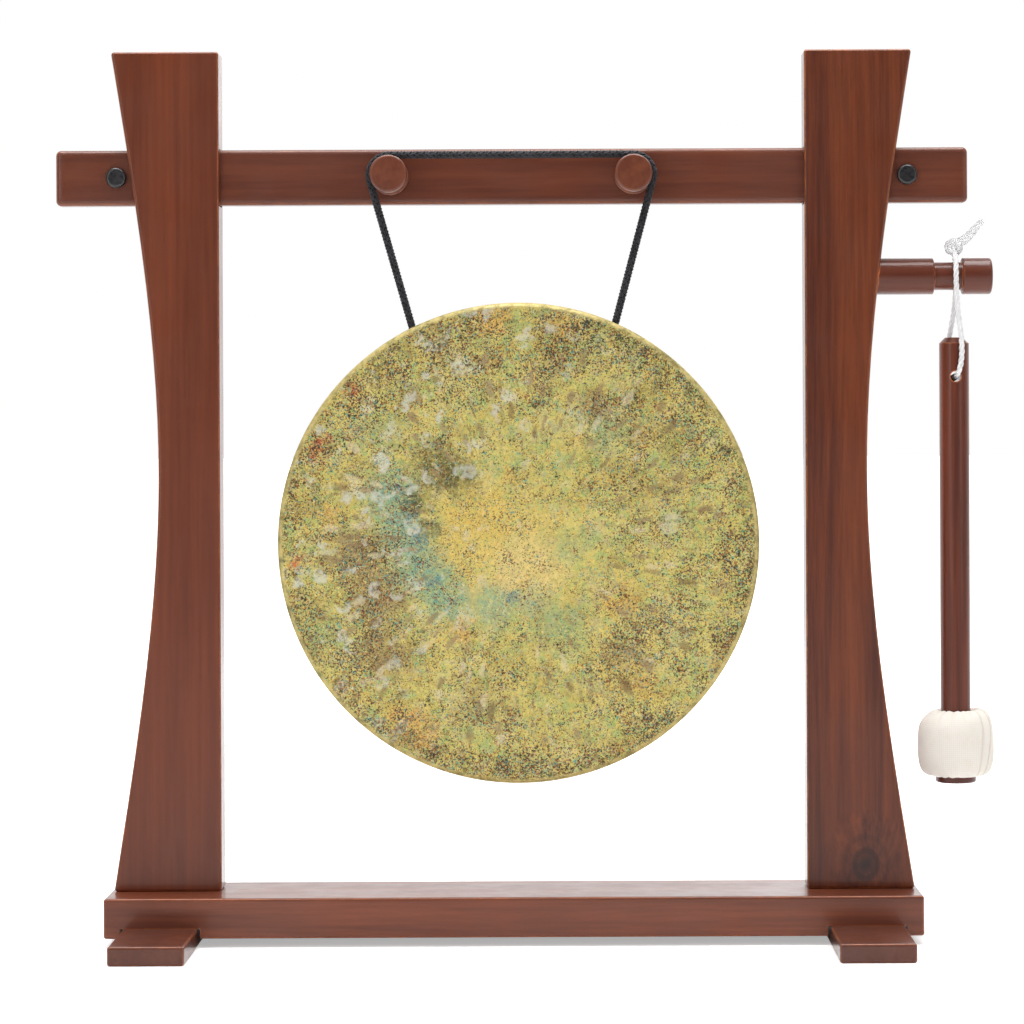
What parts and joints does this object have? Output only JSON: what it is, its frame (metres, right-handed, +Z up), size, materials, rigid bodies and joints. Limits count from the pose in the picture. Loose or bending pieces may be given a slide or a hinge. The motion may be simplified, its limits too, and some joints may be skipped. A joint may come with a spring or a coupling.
{
  "type": "table gong",
  "caption": "Round gong with a turned-back rim, hung by a braided rope from two pegs on a wooden stand, with a wrapped mallet hung from a side peg.",
  "frame": {"origin": "on the ground, in the middle of the outline of the whole object without its cords", "axes": "+X to the right seen from the front, where the mallet hangs; +Y to the back; +Z up"},
  "size_m": [0.497, 0.178, 0.4701],
  "materials": {
    "lacquered_wood": "satin reddish brown lacquer over straight grain",
    "pale_wood": "bare beech dowel",
    "black_pin": "black painted wood, slight gloss",
    "steel": "zinc plated",
    "black_rope": "braided synthetic rope",
    "white_cord": "twisted cotton cord",
    "cotton_wrap": "cream cotton wrapped in vertical folds",
    "felt_core": "wool felt",
    "gong_bronze": "hammered and heat coloured, golden with blue, brown and orange patina"
  },
  "bodies": {
    "stand": {"base_board": "lacquered_wood", "foot_left": "lacquered_wood", "foot_right": "lacquered_wood", "post_left": "lacquered_wood", "post_right": "lacquered_wood", "crossbar": "lacquered_wood", "rope_peg_left": "lacquered_wood", "rope_peg_right": "lacquered_wood", "mallet_peg": "lacquered_wood", "lock_pin_left": "black_pin", "lock_pin_right": "black_pin", "post_bolts": "steel", "post_insert_nuts": "steel", "post_dowels": "pale_wood", "foot_screws": "steel", "rope_over_pegs": "black_rope"},
    "rope_legs": {"rope_leg_left": "black_rope", "rope_leg_right": "black_rope", "rope_knot_left": "black_rope", "rope_knot_right": "black_rope"},
    "gong": {"gong_disc": "gong_bronze"},
    "mallet_loop": {"mallet_cord": "white_cord", "mallet_cord_knot": "white_cord", "mallet_cord_tail": "white_cord"},
    "mallet": {"mallet_handle": "lacquered_wood", "mallet_core": "felt_core", "mallet_wrap": "cotton_wrap", "mallet_end_cap": "lacquered_wood"}
  },
  "joints": [
    {"name": "gong_swing", "type": "hinge", "parent": "stand", "child": "rope_legs", "pos_m": [-0.0035, -0.0115, 0.40086], "axis": [1, 0, 0], "range_deg": [-18, 18]},
    {"name": "gong_nod", "type": "hinge", "parent": "rope_legs", "child": "gong", "pos_m": [-0.00549, -0.0115, 0.3235], "axis": [0.9998, -0.0009, 0.0174], "range_deg": [-6, 6]},
    {"name": "mallet_swing", "type": "hinge", "parent": "stand", "child": "mallet_loop", "pos_m": [0.2285, 0.005, 0.3501], "axis": [1, 0, 0], "range_deg": [-30, 30]},
    {"name": "mallet_sway", "type": "hinge", "parent": "mallet_loop", "child": "mallet", "pos_m": [0.2285, 0.005, 0.2966], "axis": [0, 1, 0], "range_deg": [-25, 3]}
  ]
}
